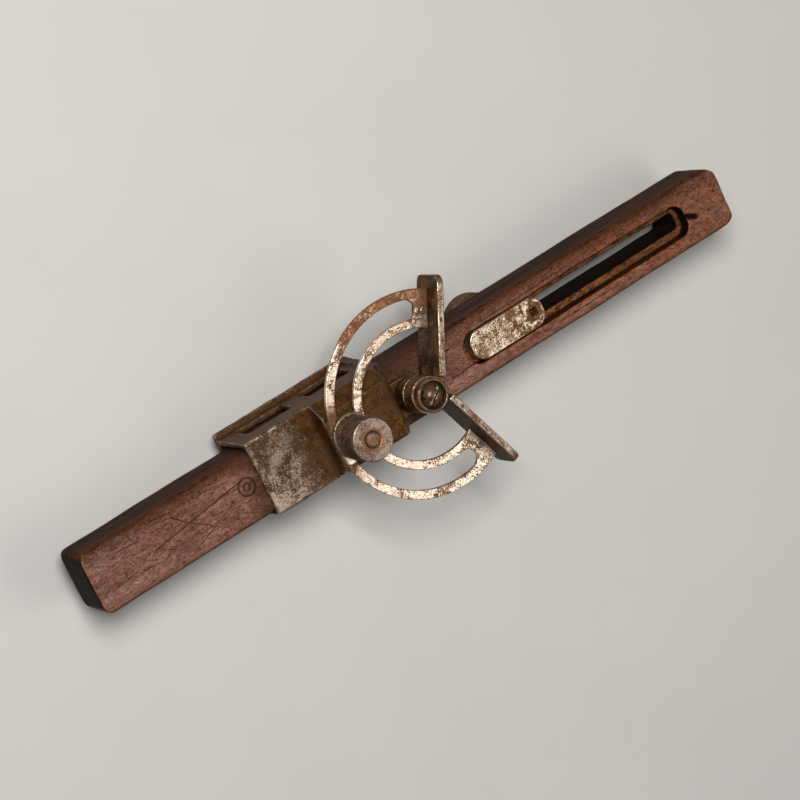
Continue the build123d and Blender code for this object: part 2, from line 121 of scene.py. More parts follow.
class Graph:
    """A material's node tree, with one short call per node. Lengths are millimetres."""

    def __init__(self, name):
        self.mat = bpy.data.materials.new(name)
        self.mat.use_nodes = True
        self.tree = self.mat.node_tree
        self.tree.nodes.clear()
        coords = self.add("ShaderNodeTexCoord")
        self.p = self.vec("SCALE", coords.outputs["Object"], scale=1 / MM)
        self.x, self.y, self.z = self.split(self.p)
        self.nx, self.ny, self.nz = self.split(coords.outputs["Normal"])

    def add(self, kind, **settings):
        node = self.tree.nodes.new(kind)
        for key, value in settings.items():
            setattr(node, key, value)
        return node

    def put(self, socket, value):
        if isinstance(value, bpy.types.NodeSocket):
            self.tree.links.new(value, socket)
        elif isinstance(value, (tuple, list)) and len(value) == 3 and socket.type == "RGBA":
            socket.default_value = (*value, 1)
        else:
            socket.default_value = value

    def split(self, vector):
        node = self.add("ShaderNodeSeparateXYZ")
        self.put(node.inputs[0], vector)
        return node.outputs[0], node.outputs[1], node.outputs[2]

    def vec(self, op, a, b=None, scale=None):
        node = self.add("ShaderNodeVectorMath", operation=op)
        self.put(node.inputs[0], a)
        if b is not None:
            self.put(node.inputs[1], b)
        if scale is not None:
            self.put(node.inputs["Scale"], scale)
        return node.outputs["Value" if op in ("LENGTH", "DOT_PRODUCT") else "Vector"]

    def op(self, kind, a, b=0.0, clamp=False):
        node = self.add("ShaderNodeMath", operation=kind, use_clamp=clamp)
        self.put(node.inputs[0], a)
        self.put(node.inputs[1], b)
        return node.outputs[0]

    def mul(self, *values):
        out = values[0]
        for value in values[1:]:
            out = self.op("MULTIPLY", out, value)
        return out

    def sum(self, *values, clamp=False):
        out = values[0]
        for value in values[1:]:
            out = self.op("ADD", out, value, clamp=clamp)
        return out

    def ease(self, value, start, end, low=0.0, high=1.0):
        """low up to start, high from end on, smooth between them."""
        node = self.add("ShaderNodeMapRange", interpolation_type="SMOOTHSTEP")
        if start > end:
            start, end, low, high = end, start, high, low
        for i, v in enumerate((value, start, end, low, high)):
            self.put(node.inputs[i], v)
        return node.outputs[0]

    def noise(self, size, detail=3.0, rough=0.55, stretch=(1, 1, 1), shift=0.0, warp=0.0, turn=0):
        """Noise whose blobs are about size millimetres across, turned turn degrees about Z."""
        place = self.p
        if turn:
            rotate = self.add("ShaderNodeVectorRotate", rotation_type="Z_AXIS")
            self.put(rotate.inputs["Vector"], place)
            self.put(rotate.inputs["Angle"], radians(turn))
            place = rotate.outputs[0]
        place = self.vec("MULTIPLY", place, tuple(s / size for s in stretch))
        place = self.vec("ADD", place, tuple(shift * share for share in SHIFT_SHARES))
        node = self.add("ShaderNodeTexNoise")
        self.put(node.inputs["Vector"], place)
        self.put(node.inputs["Scale"], 1.0)
        self.put(node.inputs["Detail"], detail)
        self.put(node.inputs["Roughness"], rough)
        self.put(node.inputs["Distortion"], warp)
        return node.outputs["Fac"]

    def mix(self, share, a, b):
        node = self.add("ShaderNodeMix", data_type="RGBA")
        self.put(node.inputs[0], share)
        self.put(node.inputs[6], a)
        self.put(node.inputs[7], b)
        return node.outputs[2]

    def ramp(self, value, *stops):
        node = self.add("ShaderNodeValToRGB")
        node.color_ramp.elements.remove(node.color_ramp.elements[1])
        for i, (place, colour) in enumerate(stops):
            element = node.color_ramp.elements[0] if i == 0 else node.color_ramp.elements.new(place)
            element.position = place
            element.color = (*colour, 1)
        self.put(node.inputs[0], value)
        return node.outputs[0]

    def most(self, values):
        """The highest of several values."""
        out, *rest = values
        for value in rest:
            out = self.op("MAXIMUM", out, value)
        return out

    def away(self, centre):
        """Distance from a point, seen from above."""
        return self.vec("LENGTH", self.vec("MULTIPLY", self.vec("SUBTRACT", self.p, centre), (1, 1, 0)))

    def wear(self):
        """1 on worn outer edges, stored on the dense meshes."""
        return self.add("ShaderNodeAttribute", attribute_name="wear").outputs["Fac"]

    def line(self, start, end, width):
        """1 on a straight scratch between two points seen from above, 0 a width away from it."""
        a, b = Vector((*start, 0)), Vector((*end, 0))
        along = b - a
        from_a = self.vec("SUBTRACT", self.vec("MULTIPLY", self.p, (1, 1, 0)), tuple(a))
        share = self.mul(self.vec("DOT_PRODUCT", from_a, tuple(along)), 1 / along.length_squared)
        share = self.op("MINIMUM", self.op("MAXIMUM", share, 0.0), 1.0)
        on_line = self.vec("SCALE", tuple(along), scale=share)
        gap = self.vec("LENGTH", self.vec("SUBTRACT", from_a, on_line))
        return self.ease(gap, width, width * 0.25)

    def finish(self, colour, rough, metal, height=None, depth=0.1, specular=0.5):
        shader = self.add("ShaderNodeBsdfPrincipled")
        self.put(shader.inputs["Base Color"], colour)
        self.put(shader.inputs["Roughness"], rough)
        self.put(shader.inputs["Metallic"], metal)
        shader.inputs["Specular IOR Level"].default_value = specular
        if height is not None:
            bump = self.add("ShaderNodeBump")
            bump.inputs["Strength"].default_value = 1.0
            bump.inputs["Distance"].default_value = depth * MM
            self.put(bump.inputs["Height"], height)
            self.put(shader.inputs["Normal"], bump.outputs[0])
        out = self.add("ShaderNodeOutputMaterial")
        self.put(out.inputs[0], shader.outputs[0])
        return self.mat


# ---------------------------------------------------------------- the beam's wood
def beam_grain(g):
    """Noises that the whole beam shares. The grain runs along X."""
    return SimpleNamespace(
        streak=g.noise(1.0, 5, 0.62, (0.06, 1.0, 1.0), 3.0, 0.5),
        broad=g.noise(5.0, 4, 0.55, (0.16, 1.0, 1.0), 9.0, 0.8),
        fine=g.noise(0.30, 4, 0.7, (0.16, 1.0, 1.0), 17.0),
        mottle=g.noise(1.6, 4, 0.68, (0.6, 1.0, 1.0), 25.0, 0.8),
        grit=g.noise(0.42, 4, 0.75, (0.55, 1.0, 1.0), 29.0),
        patch=g.noise(9.0, 4, 0.62, (0.5, 1.0, 1.0), 41.0, 1.2),
    )


def bleached(g, grain):
    """Pale dry patches."""
    dry = g.ease(g.noise(2.4, 5, 0.7, (0.7, 1, 1), 45.0, 1.0), 0.54, 0.68)
    return g.mul(dry, g.ease(grain.patch, 0.40, 0.60), 0.40)


def working_face(g, grain, bleach):
    """Red-brown wood, pinker where it is held and redder and oilier along the slot."""
    parts = ((grain.streak, 0.22), (grain.broad, 0.20), (grain.mottle, 0.24), (grain.grit, 0.34))
    colour = g.ramp(
        g.sum(*(g.mul(value, share) for value, share in parts)),
        (0.36, (0.050, 0.021, 0.014)),
        (0.45, (0.150, 0.062, 0.042)),
        (0.53, (0.240, 0.118, 0.090)),
        (0.64, (0.400, 0.235, 0.190)),
    )
    oily = g.mix(g.ease(grain.mottle, 0.36, 0.62), (0.115, 0.032, 0.012), (0.270, 0.092, 0.038))
    colour = g.mix(g.mul(g.ease(g.x, RECESS_REAR, RECESS_FRONT - 8), 0.62), colour, oily)
    colour = g.mix(g.mul(g.ease(grain.fine, 0.40, 0.66), 0.42), colour, (0.075, 0.032, 0.022))
    # Handling has darkened the +Y margin, and a painted orange highlight lies along the rounded -Y edge.
    across = g.sum(g.y, g.mul(grain.broad, 4.0), g.mul(grain.patch, 2.0))
    margin = g.mul(g.ease(across, 7.0, 12.0), g.ease(g.nz, 0.2, 0.6), 0.85)
    dirt = g.mix(g.ease(grain.grit, 0.40, 0.62), (0.034, 0.013, 0.006), (0.105, 0.038, 0.014))
    colour = g.mix(margin, colour, dirt)
    # Painted orange highlight along the rounded -Y edge of the working face.
    across = g.sum(g.y, g.mul(grain.broad, 2.0))
    orange = g.mul(g.ease(across, -5.2, -8.2), g.ease(grain.mottle, 0.36, 0.60), 0.55)
    colour = g.mix(orange, colour, (0.270, 0.105, 0.042))
    colour = g.mix(bleach, colour, (0.330, 0.205, 0.170))
    # Grey scuffs near both ends, and dark stains.
    near_ends = g.most((g.ease(g.x, butt + 23.5, butt + 6.5), g.ease(g.x, front - 22.3, front - 6.3)))
    scuff = g.ease(g.noise(3.2, 5, 0.7, (0.8, 1, 1), 57.0, 1.4), 0.50, 0.62)
    colour = g.mix(g.mul(scuff, near_ends, 0.62), colour, (0.125, 0.092, 0.088))
    stain = g.ease(g.noise(12.0, 4, 0.62, (0.6, 1, 1), 63.0, 1.5), 0.53, 0.68)
    return g.mix(g.mul(stain, 0.50), colour, (0.060, 0.028, 0.019))


def beam_side(g, grain):
    """Nearly black-brown, lighter and orange just under the worn edges."""
    colour = g.mix(g.ease(grain.streak, 0.40, 0.64), (0.011, 0.0042, 0.0018), (0.060, 0.0190, 0.0060))
    upper = g.mul(g.ease(g.z, face - 8, face - 2), g.ease(grain.mottle, 0.34, 0.60), 0.65)
    colour = g.mix(upper, colour, (0.110, 0.034, 0.010))
    lower = g.mul(g.ease(g.z, 4.0, 1.0), g.ease(grain.broad, 0.38, 0.60), 0.55)
    return g.mix(lower, colour, (0.095, 0.031, 0.008))


def worn_edges_and_sheen(g, grain, colour, edge):
    """Long edges rubbed back to lighter wood, with a painted orange sheen along the rounded edges."""
    rub_and_sheen = g.mul(
        g.ease(edge, 0.20, 0.75),
        g.ease(grain.patch, 0.32, 0.58, 0.20, 0.85),
        g.ease(g.nz, -0.2, 0.5, 0.3, 1.0),
    )
    # The lighter orange is partly bare wood and partly a painted sheen on the rounded edges.
    bare_wood_and_sheen = g.mix(g.ease(grain.mottle, 0.38, 0.6), (0.150, 0.048, 0.016), (0.300, 0.120, 0.055))
    return g.mix(rub_and_sheen, colour, bare_wood_and_sheen)


def recess_ledge_and_shade(g, grain, colour, top):
    """The recess: a worn ledge beside the slot, and painted shade, near black, on the walls below it."""
    ends = g.mul(
        g.ease(g.x, RECESS_REAR - 0.8, RECESS_REAR + 0.2),
        g.ease(g.x, RECESS_FRONT + 0.8, RECESS_FRONT - 0.2),
    )
    sides = g.ease(g.op("ABSOLUTE", g.y), RECESS_SIDE + 0.3, RECESS_SIDE - 0.1)
    inside = g.mul(g.ease(g.z, face - 0.25, face - 0.8), sides, ends)
    ledge = g.mix(g.ease(grain.mottle, 0.36, 0.60), (0.042, 0.017, 0.006), (0.205, 0.078, 0.030))
    dull = g.mul(g.ease(g.x, 60, 100), g.ease(grain.patch, 0.4, 0.6), 0.7)
    ledge = g.mix(dull, ledge, (0.085, 0.037, 0.011))
    on_ledge = g.mul(top, g.ease(g.z, RECESS_FLOOR - 0.7, RECESS_FLOOR - 0.2))
    # Near black painted shade on the recess and slot walls below the worn ledge.
    ledge_and_shade = g.mix(on_ledge, (0.010, 0.0044, 0.0016), ledge)
    return g.mix(inside, colour, ledge_and_shade)


def beam_marks(g, grain):
    """Pores, pits, nicks, scratches, the round stamp and the notch, each from 0 to 1."""
    nick_turns = ((-34, 101.0), (28, 113.0), (72, 127.0), (-8, 139.0))
    cuts = (g.noise(0.26, 1, 0.5, (0.05, 1.0, 1.0), shift, turn=turn) for turn, shift in nick_turns)
    nicks = g.most([g.ease(cut, 0.675, 0.725) for cut in cuts])
    surface = g.ease(g.z, face - 0.9, face - 0.5)
    off = g.away(STAMP)
    rings = [
        g.ease(g.op("ABSOLUTE", g.sum(off, -radius)), outside, inside)
        for radius, outside, inside in STAMP_RINGS
    ]
    return SimpleNamespace(
        pore=g.ease(g.noise(0.30, 2, 0.5, (0.30, 1.0, 1.0), 31.0), 0.60, 0.70),
        pit=g.ease(g.noise(0.62, 2, 0.5, shift=37.0), 0.69, 0.76),
        nicks=g.mul(nicks, g.ease(grain.patch, 0.34, 0.56, 0.35, 1.0)),
        scratch=g.mul(
            g.most([g.line(*mark) for mark in SCRATCHES]), surface,
            g.ease(grain.grit, 0.34, 0.52, 0.25, 1.0),
        ),
        stamp=g.mul(g.most(rings), surface, g.ease(grain.grit, 0.36, 0.56, 0.25, 1.0)),
        notch=g.mul(g.line(*NOTCH, 1.0), g.ease(g.z, face - 3.7, face - 2.9)),
    )


def wood():
    g = Graph("rosewood")
    grain = beam_grain(g)
    top = g.ease(g.nz, 0.50, 0.93)
    edge = g.wear()
    bleach = bleached(g, grain)
    colour = g.mix(top, beam_side(g, grain), working_face(g, grain, bleach))
    # Worn long edges, lightened further by a painted orange sheen.
    colour = worn_edges_and_sheen(g, grain, colour, edge)
    end_face = g.ease(g.op("ABSOLUTE", g.nx), 0.62, 0.90)
    colour = g.mix(g.mul(end_face, 0.97), colour, (0.0045, 0.0026, 0.0018))
    # The recess ledge, with painted shade on the walls below it.
    colour = recess_ledge_and_shade(g, grain, colour, top)
    # Grime where the head is slid along, and painted shade on the wood round and under the head.
    grime_and_shade = g.mul(
        g.ease(g.x, rear - 8, rear - 1), g.ease(g.x, 14, 2), g.ease(grain.patch, 0.30, 0.55, 0.35, 0.85)
    )
    colour = g.mix(grime_and_shade, colour, (0.055, 0.025, 0.015))
    mark = beam_marks(g, grain)
    for share, tint in (
        (g.mul(mark.pore, 0.78), (0.016, 0.0070, 0.0045)),
        (g.mul(mark.pit, 0.85), (0.012, 0.0060, 0.0040)),
        (g.mul(mark.nicks, 0.80), (0.018, 0.0085, 0.0060)),
        (g.mul(mark.scratch, 0.85), (0.008, 0.0042, 0.0032)),
        (g.mul(mark.stamp, 0.80), (0.030, 0.012, 0.006)),
        (g.mul(mark.notch, 0.97), (0.0050, 0.0030, 0.0020)),
    ):
        colour = g.mix(share, colour, tint)
    rough = g.sum(g.mul(grain.fine, 0.22), g.mul(edge, -0.08), g.mul(bleach, 0.2), 0.46)
    height = g.sum(
        g.mul(grain.fine, 0.60), g.mul(grain.streak, 0.35), g.mul(grain.grit, 0.60),
        g.mul(mark.pore, -0.7), g.mul(mark.pit, -1.0), g.mul(mark.nicks, -0.7),
        g.mul(mark.scratch, -1.4), g.mul(mark.stamp, -1.5),
    )
    return g.finish(colour, rough, 0.0, height, 0.12, 0.04)


# ---------------------------------------------------------------- the metals
def tint(colour, share):
    return tuple(channel * share for channel in colour)


def aged_metal(
    name,
    bright=(0.62, 0.54, 0.44),
    dark=(0.060, 0.036, 0.018),
    rust=(0.23, 0.085, 0.025),
    cover=0.5,
    top_gain=0.0,
    edge_gain=0.35,
    pit=0.55,
    rust_share=0.25,
    rough=(0.34, 0.62),
    depth=0.05,
    shift=0.0,
    speck=0.0,
    speck_size=0.5,
    speck_colour=(0.085, 0.040, 0.018),
    region=None,
    rust_region=None,
):
    """Worn plating: bright metal breaking up into brown patina, pits and rust.

    cover is the bright share, pit the patches' size in millimetres, and speck how much dark speckle
    lies on top. region and rust_region add to the bright and rusty shares from place to place.
    """
    g = Graph(name)
    coarse = g.noise(pit * 4.2, 4, 0.6, shift=5 + shift, warp=0.6)
    medium = g.noise(pit * 1.5, 4, 0.62, shift=13 + shift)
    small = g.noise(pit * 0.55, 3, 0.6, shift=29 + shift)
    field = g.sum(g.mul(coarse, 0.42), g.mul(medium, 0.38), g.mul(small, 0.20))
    want = g.sum(g.mul(g.ease(g.nz, 0.5, 0.95), top_gain), g.mul(g.wear(), edge_gain), cover)
    if region is not None:
        want = g.sum(want, region(g))
    level = g.sum(field, g.mul(g.sum(want, -0.5), 0.42))
    shine = g.ease(level, 0.42, 0.57)
    colour = g.mix(g.ease(medium, 0.35, 0.7), dark, tint(dark, 2.1))
    blotch = g.noise(pit * 6, 4, 0.6, shift=51 + shift, warp=1.0)
    rusty = g.mul(g.ease(blotch, 0.45, 0.66), rust_share)
    if rust_region is not None:
        rusty = g.sum(rusty, rust_region(g), clamp=True)
    colour = g.mix(rusty, colour, rust)
    plate = g.mix(g.ease(coarse, 0.35, 0.68), bright, tint(bright, 0.70))
    plate = g.mix(g.mul(g.ease(small, 0.42, 0.66), 0.35), plate, tint(bright, 0.45))
    plate = g.mix(g.mul(rusty, 0.90), plate, rust)
    colour = g.mix(shine, colour, plate)
    metal = g.ease(g.sum(shine, g.mul(rusty, -0.45)), 0, 1, 0.35, 1.0)
    if speck:
        crowd = g.noise(5.0, 3, 0.6, shift=87 + shift, warp=0.6)
        dots = g.sum(g.noise(speck_size, 3, 0.62, shift=91 + shift), g.mul(crowd, 0.85))
        limit = 1.005 - 0.10 * speck
        dots = g.mul(g.ease(dots, limit, limit + 0.08), min(1.0, 0.6 + speck))
        colour = g.mix(dots, colour, g.mix(small, speck_colour, tint(speck_colour, 2.4)))
        metal = g.mul(metal, g.ease(dots, 0, 1, 1.0, 0.35))
        shine = g.mul(shine, g.ease(dots, 0, 1, 1.0, 0.15))
    roughness = g.ease(g.sum(g.mul(shine, 0.8), g.mul(small, 0.2)), 0.1, 0.9, rough[1], rough[0])
    height = g.sum(g.mul(shine, 0.55), g.mul(small, 0.5), g.mul(medium, 0.35))
    return g.finish(colour, roughness, metal, height, depth, 0.06)


def casting_region(g):
    """Rubbed bright on the label face, brown on the walls, the step and the seat."""
    blur = g.mul(g.sum(g.noise(2.4, 5, 0.70, shift=73.0), -0.5), 9.0)
    level = g.ease(g.z, LABEL_FACE - 1.25, LABEL_FACE - 0.25)
    label = g.mul(level, g.ease(g.z, LABEL_FACE + 1.55, LABEL_FACE + 0.25))
    label = g.mul(label, g.ease(g.sum(g.x, blur), rear + 23.5, rear + 8))
    label = g.mul(label, g.ease(g.sum(g.y, blur), 14.0, 4.0, 0.50, 1.0))
    below_step = g.ease(g.z, LABEL_FACE + 0.65, LABEL_FACE + 0.15)
    rear_rim = g.mul(below_step, g.ease(g.x, rear + 2, rear + 0.6), 0.34)
    rear_rim = g.mul(rear_rim, g.ease(g.z, LABEL_FACE - 1.05, LABEL_FACE - 0.25))
    side_rim = g.mul(below_step, g.ease(g.y, -8.6, -9.6), 0.22)
    side_rim = g.mul(side_rim, g.ease(g.z, LABEL_FACE - 0.85, LABEL_FACE - 0.25))
    grain = g.mul(g.sum(g.noise(0.34, 3, 0.7, shift=79.0), -0.5), 1.30)
    top = g.mul(g.ease(g.z, seat - 0.65, seat - 0.05), g.ease(g.nz, 0.8, 0.98), 0.05)
    foot = g.mul(g.ease(g.z, 2.5, 0.5), 0.10)
    return g.sum(g.mul(label, g.sum(grain, 0.60)), rear_rim, side_rim, top, foot)


def arc_rust(*spans):
    """Rust over arcs of polar angle round the pivot, each (from, to, share) in degrees."""

    def region(g):
        node = g.add("ShaderNodeMath", operation="ARCTAN2")
        g.put(node.inputs[0], g.y)
        g.put(node.inputs[1], g.x)
        turn = g.mul(node.outputs[0], 180 / pi)
        patch = g.ease(g.noise(2.6, 4, 0.66, shift=77.0, warp=0.8), 0.38, 0.58, 0.30, 1.0)
        out = g.most([
            g.mul(g.ease(turn, start - 10, start + 8), g.ease(turn, end + 10, end - 8), share)
            for start, end, share in spans
        ])
        across = g.away((0, 0, 0))
        outer = g.ease(g.sum(across, g.mul(patch, -1.5)), 21.5, 24.5, 0.16, 1.0)
        return g.mul(out, patch, outer)

    return region


def slide_region(g):
    """The slide is rubbed bright at its rear and stained round the scriber."""
    blotch = g.ease(g.noise(2.2, 4, 0.66, shift=95.0, warp=0.6), 0.40, 0.56)
    stain = g.mul(g.ease(g.x, 33, 42), blotch, -0.42)
    wobble = g.mul(g.sum(g.noise(1.4, 4, 0.66, shift=99.0), -0.5), 3.6)
    off = g.sum(g.away(tuple(centre_of("scriber"))), wobble)
    brown = g.mul(g.ease(off, 3.4, 1.9), -0.34)
    light = g.mul(g.ease(off, 2.4, 3.2), g.ease(off, 4.6, 3.6), 0.22)
    return g.sum(stain, brown, light, 0.10)


def ring_rust(centre, radius, spread, share=0.9):
    """Rust gathered in a ring round a stud."""

    def region(g):
        off = g.op("ABSOLUTE", g.sum(g.away(centre), -radius))
        wobble = g.mul(g.sum(g.noise(1.3, 3, 0.6, shift=7.0), -0.5), spread * 1.6)
        return g.mul(g.ease(g.sum(off, wobble), spread, spread * 0.15), share)

    return region


def floor_material():
    g = Graph("studio_floor")
    tone = g.mix(g.noise(40.0, 3, 0.5), (0.50, 0.497, 0.490), (0.54, 0.536, 0.528))
    grain = g.noise(1.2, 2, 0.5)
    return g.finish(tone, g.ease(grain, 0, 1, 0.55, 0.7), 0.0, grain, 0.02, 0.3)


# ---------------------------------------------------------------- dense worn meshes
# A bend of a ninth of a voxel counts as fully worn.
EDGE_WEAR = 9.0


def coords_of(mesh):
    """Vertex places, one row each."""
    co = np.zeros(len(mesh.vertices) * 3)
    mesh.vertices.foreach_get("co", co)
    return co.reshape(-1, 3)


def edges_of(mesh):
    """Vertex numbers of each edge."""
    ends = np.zeros(len(mesh.edges) * 2, int)
    mesh.edges.foreach_get("vertices", ends)
    return ends.reshape(-1, 2)


def neighbour_mean(values, ends, count):
    """Mean of the values of each vertex's neighbours."""
    total = np.zeros_like(values)
    for axis in range(values.shape[1]):
        column = np.bincount(ends[:, 0], values[ends[:, 1], axis], len(values))
        total[:, axis] = column + np.bincount(ends[:, 1], values[ends[:, 0], axis], len(values))
    return total / count[:, None]


def normals_of(mesh):
    """Vertex normals, one row each."""
    n = np.zeros(len(mesh.vertices) * 3, np.float32)
    mesh.vertex_normals.foreach_get("vector", n)
    return n.reshape(-1, 3).astype(float)


def bend_of(mesh, place, ends, count):
    """How far each vertex stands out from its neighbours, along the normal."""
    return np.einsum("ij,ij->i", normals_of(mesh), place - neighbour_mean(place, ends, count))


def worn(node, material, voxel, relax, dent=0.0, dent_size=4.0, shift=0.0, stretch=(1, 1, 1), cuts=()):
    """A dense copy of a CAD node with softened edges, shallow dents and cuts, which replaces it.

    voxel, dent and dent_size are millimetres, and relax is the number of smoothing passes.
    Each cut is (start, end, half width, depth) in millimetres, pressed down into the working face.
    """
    source = NODES[node]
    piece = bpy.data.objects.new(node + "_worn", source.data.copy())
    bpy.context.scene.collection.objects.link(piece)
    remesh = piece.modifiers.new("dense", "REMESH")
    remesh.mode = "VOXEL"
    remesh.voxel_size = voxel * MM
    graph = bpy.context.evaluated_depsgraph_get()
    mesh = bpy.data.meshes.new_from_object(piece.evaluated_get(graph))
    piece.modifiers.clear()
    piece.data = mesh
    place, ends = coords_of(mesh), edges_of(mesh)
    count = np.bincount(ends.ravel(), minlength=len(place)).astype(float)
    for _ in range(relax):
        place += 0.6 * (neighbour_mean(place, ends, count) - place)
    mesh.vertices.foreach_set("co", place.ravel())
    mesh.update()
    normal = normals_of(mesh)
    bend = bend_of(mesh, place, ends, count)[:, None]
    for _ in range(3):
        bend = 0.5 * bend + 0.5 * neighbour_mean(bend, ends, count)
    wear = np.clip(bend[:, 0] / (voxel * MM) * EDGE_WEAR, 0, 1)
    if dent:
        scale = Vector(stretch) / (dent_size * MM)
        offset = Vector(SHIFT_SHARES) * shift
        low = np.array([
            noise.fractal(Vector((p[0] * scale.x, p[1] * scale.y, p[2] * scale.z)) + offset, 1.0, 2.0, 3)
            for p in place
        ])
        share = np.clip(0.5 + 0.5 * low + 0.8 * wear * (0.5 + low), 0, 1.5)
        place -= normal * (dent * MM * share)[:, None]
        mesh.vertices.foreach_set("co", place.ravel())
    for start, end, width, depth in cuts:
        a, b = np.array((*start, face)) * MM, np.array((*end, face)) * MM
        share = np.clip((place - a) @ (b - a) / ((b - a) @ (b - a)), 0, 1)
        gap = np.linalg.norm((place - a - share[:, None] * (b - a))[:, :2], axis=1) / (width * MM)
        press = np.clip(1.25 - gap, 0, 1) * (normal[:, 2] > 0.5) * (place[:, 2] > a[2] - 0.4 * MM)
        place[:, 2] -= press * depth * MM
        mesh.vertices.foreach_set("co", place.ravel())
    settle(piece, node, material, wear)


def settle(piece, node, material, wear):
    """Give a piece its wear, its material and its place in the frame."""
    mesh = piece.data
    attribute = mesh.attributes.new("wear", "FLOAT", "POINT")
    attribute.data.foreach_set("value", wear.astype(np.float32))
    mesh.materials.clear()
    mesh.materials.append(material)
    mesh.polygons.foreach_set("use_smooth", np.ones(len(mesh.polygons), bool))
    mesh.update()
    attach(piece, BODY_OF[node])
    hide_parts(node)


def section_rows(profile, knurl):
    """The profile's points with more between them where the knurl or a long face needs them."""
    rows = []
    for (r0, z0), (r1, z1) in zip(profile, profile[1:] + profile[:1]):
        steps = 1
        if abs(r0 - r1) < 0.01 and knurl[0] <= min(z0, z1) and max(z0, z1) <= knurl[1]:
            steps = max(2, int(abs(z1 - z0) / 0.12))
        elif abs(r0 - r1) + abs(z0 - z1) > 1.5:
            steps = 6
        rows += [(r0 + (r1 - r0) * i / steps, z0 + (z1 - z0) * i / steps) for i in range(steps)]
    return rows


def knurled(node, material, profile, knurl, count, climb_teeth, depth, segments=336):
    """A turned piece with a diamond knurl between two levels.

    profile runs round the section as (radius, level). The knurl has count teeth round the piece,
    and each groove crosses climb_teeth of them on its way up.
    """
    rows = section_rows(profile, knurl)
    centre = centre_of(node)
    outer = max(radius for radius, _ in rows)
    low, high = knurl
    turn = np.arange(segments) * 2 * pi / segments
    teeth = count * turn / (2 * pi)
    place = []
    for radius, level in rows:
        cut = np.zeros(segments)
        if radius > outer - 0.3 and low < level < high:
            climb = (level - low) / (high - low)
            one = np.abs(2 * ((teeth + climb * climb_teeth) % 1) - 1)
            two = np.abs(2 * ((teeth - climb * climb_teeth) % 1) - 1)
            fade = min(1.0, 4 * min(climb, 1 - climb) * (high - low) / 2)
            cut = depth * fade * (1 - np.minimum(one, two))
        r = radius - cut
        ring = (centre.x + r * np.cos(turn), centre.y + r * np.sin(turn), np.full(segments, level))
        place.append(np.stack(ring, 1))
    place = np.concatenate(place) * MM
    rings, faces = len(rows), []
    for i in range(rings):
        j = (i + 1) % rings
        for k in range(segments):
            m = (k + 1) % segments
            faces.append((i * segments + k, i * segments + m, j * segments + m, j * segments + k))
    mesh = bpy.data.meshes.new(node + "_knurled")
    mesh.from_pydata(place.tolist(), [], faces)
    piece = bpy.data.objects.new(node + "_knurled", mesh)
    bpy.context.scene.collection.objects.link(piece)
    mesh.update()
    ends = edges_of(mesh)
    neighbours = np.bincount(ends.ravel(), minlength=len(place)).astype(float)
    bend = bend_of(mesh, place, ends, neighbours)
    settle(piece, node, material, np.clip(bend / (0.06 * MM), 0, 1))


# ---------------------------------------------------------------- finishes
nickel = dict(
    bright=(0.95, 0.80, 0.66), dark=(0.075, 0.036, 0.015), pit=0.45,
    speck=0.72, speck_size=0.40, rough=(0.33, 0.58), depth=0.07,
)
arc_plating = dict(nickel, cover=0.66, top_gain=0.08, edge_gain=-0.10)
casting = aged_metal(
    "cast_bronze", bright=(0.50, 0.385, 0.315), dark=(0.031, 0.0150, 0.0038),
    rust=(0.150, 0.053, 0.009), cover=0.10, edge_gain=0.62, pit=0.36, rust_share=0.75,
    rough=(0.34, 0.42), depth=0.13, speck=0.86, speck_size=0.30, speck_colour=(0.040, 0.020, 0.010),
    region=casting_region,
)
upper_metal = aged_metal(
    "upper_arc_plating", shift=3, rust=(0.225, 0.078, 0.020),
    rust_region=arc_rust((50, 120, 1.9), (158, 205, 1.0)), **arc_plating,
)
lower_metal = aged_metal(
    "lower_arc_plating", shift=11, rust=(0.150, 0.058, 0.020),
    rust_region=arc_rust((-205, -160, 1.1), (150, 205, 1.1)), **arc_plating,
)
plate_metal = aged_metal(
    "fence_plate_patina", bright=(0.58, 0.46, 0.36), dark=(0.018, 0.0105, 0.0036),
    rust=(0.070, 0.030, 0.008), cover=0.10, top_gain=0.42, edge_gain=0.42, pit=0.45, rust_share=0.5,
    rough=(0.36, 0.50), shift=21, speck=0.6, speck_size=0.45,
)
slide_metal = aged_metal(
    "slide_plating", cover=0.53, top_gain=0.03, shift=33, region=slide_region,
    **dict(nickel, pit=0.62, bright=(0.74, 0.60, 0.46)),
)
washer_metal = aged_metal(
    "washer_patina", cover=0.26, top_gain=0.05, edge_gain=0.55, shift=41, bright=(0.44, 0.37, 0.29),
    dark=(0.036, 0.022, 0.011), rust_share=0.5, rust=(0.12, 0.05, 0.016), speck=0.5,
)
nut_metal = aged_metal(
    "clamp_nut_patina", bright=(0.48, 0.36, 0.305), dark=(0.024, 0.0135, 0.006),
    rust=(0.290, 0.110, 0.032), cover=0.14, top_gain=0.46, edge_gain=0.30, pit=0.26, rust_share=0.20,
    rough=(0.42, 0.58), shift=47, speck=0.95, speck_size=0.36, speck_colour=(0.070, 0.042, 0.030),
    rust_region=ring_rust(tuple(centre_of("clamp_thumb_nut")), 2.7, 1.0),
)
under_metal = aged_metal(
    "thumb_piece_patina", bright=(0.36, 0.28, 0.20), dark=(0.050, 0.030, 0.014), cover=0.26,
    edge_gain=0.4, pit=0.4, shift=53, speck=0.5,
)
stud_metal = aged_metal(
    "stud_end", bright=(0.34, 0.25, 0.19), dark=(0.095, 0.050, 0.024), rust=(0.230, 0.092, 0.030),
    cover=0.42, pit=0.35, rust_share=0.6, shift=59, rough=(0.40, 0.58), speck=0.6, speck_size=0.34,
)
